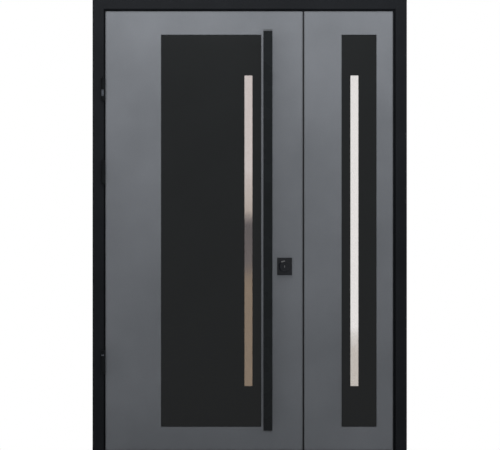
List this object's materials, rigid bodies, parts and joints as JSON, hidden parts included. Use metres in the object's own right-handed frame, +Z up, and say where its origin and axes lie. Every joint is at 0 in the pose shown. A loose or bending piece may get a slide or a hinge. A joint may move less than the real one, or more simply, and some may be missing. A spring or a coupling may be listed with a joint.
{
  "type": "security door",
  "caption": "Steel entrance door with a hinged main leaf beside a narrow fixed leaf in one frame, with black inserts, slot glazing and a tall pull bar.",
  "frame": {"origin": "middle of the sill's underside, half way through the frame's depth", "axes": "+X along the wall to the right as seen from outside, +Y indoors through the wall, +Z up"},
  "size_m": [1.4, 0.222, 2.076],
  "materials": {
    "frame_black": "satin black powder coat on folded steel",
    "leaf_steel": "fine-textured anthracite powder coat on folded steel",
    "grey_facing": "matte anthracite film on wood fibre board",
    "black_insert": "smooth satin black compact laminate",
    "glass": "clear toughened glass",
    "spacer_aluminium": "mill aluminium",
    "liner_plastic": "matte black plastic",
    "seal_rubber": "soft black rubber",
    "black_hardware": "matte black powder coat",
    "bare_steel": "brushed bare steel"
  },
  "bodies": {
    "frame": {"frame_head": "frame_black", "frame_left_jamb": "frame_black", "frame_right_jamb": "frame_black", "frame_seal": "seal_rubber", "frame_sill": "frame_black", "hinge_frame_half_bottom": "black_hardware", "hinge_frame_half_middle": "black_hardware", "hinge_frame_half_top": "black_hardware", "hinge_pins": "bare_steel", "meeting_seal": "seal_rubber", "side_facing": "grey_facing", "side_fixings": "bare_steel", "side_glazing_liner": "liner_plastic", "side_inner_facing": "grey_facing", "side_inner_insert": "black_insert", "side_inner_sheet": "leaf_steel", "side_insert": "black_insert", "side_pane_spacer": "spacer_aluminium", "side_panes": "glass", "side_tray": "leaf_steel", "strike_plate": "bare_steel"},
    "main_leaf": {"dog_bolts": "bare_steel", "hinge_leaf_half_bottom": "black_hardware", "hinge_leaf_half_middle": "black_hardware", "hinge_leaf_half_top": "black_hardware", "inside_roses": "black_hardware", "lever_handle": "black_hardware", "lock_bolts": "bare_steel", "lock_cylinder": "bare_steel", "lock_faceplate": "bare_steel", "lock_plate": "black_hardware", "lock_rotor": "black_hardware", "main_facing": "grey_facing", "main_glazing_liner": "liner_plastic", "main_inner_facing": "grey_facing", "main_inner_insert": "black_insert", "main_inner_sheet": "leaf_steel", "main_insert": "black_insert", "main_pane_spacer": "spacer_aluminium", "main_panes": "glass", "main_tray": "leaf_steel", "pull_bar": "black_hardware", "pull_bar_posts": "black_hardware", "thumb_turn": "black_hardware"}
  },
  "joints": [
    {"name": "main_leaf_swing", "type": "hinge", "parent": "frame", "child": "main_leaf", "pos_m": [-0.6515, -0.071, 1.038], "axis": [0, 0, -1], "range_deg": [0, 170]}
  ]
}
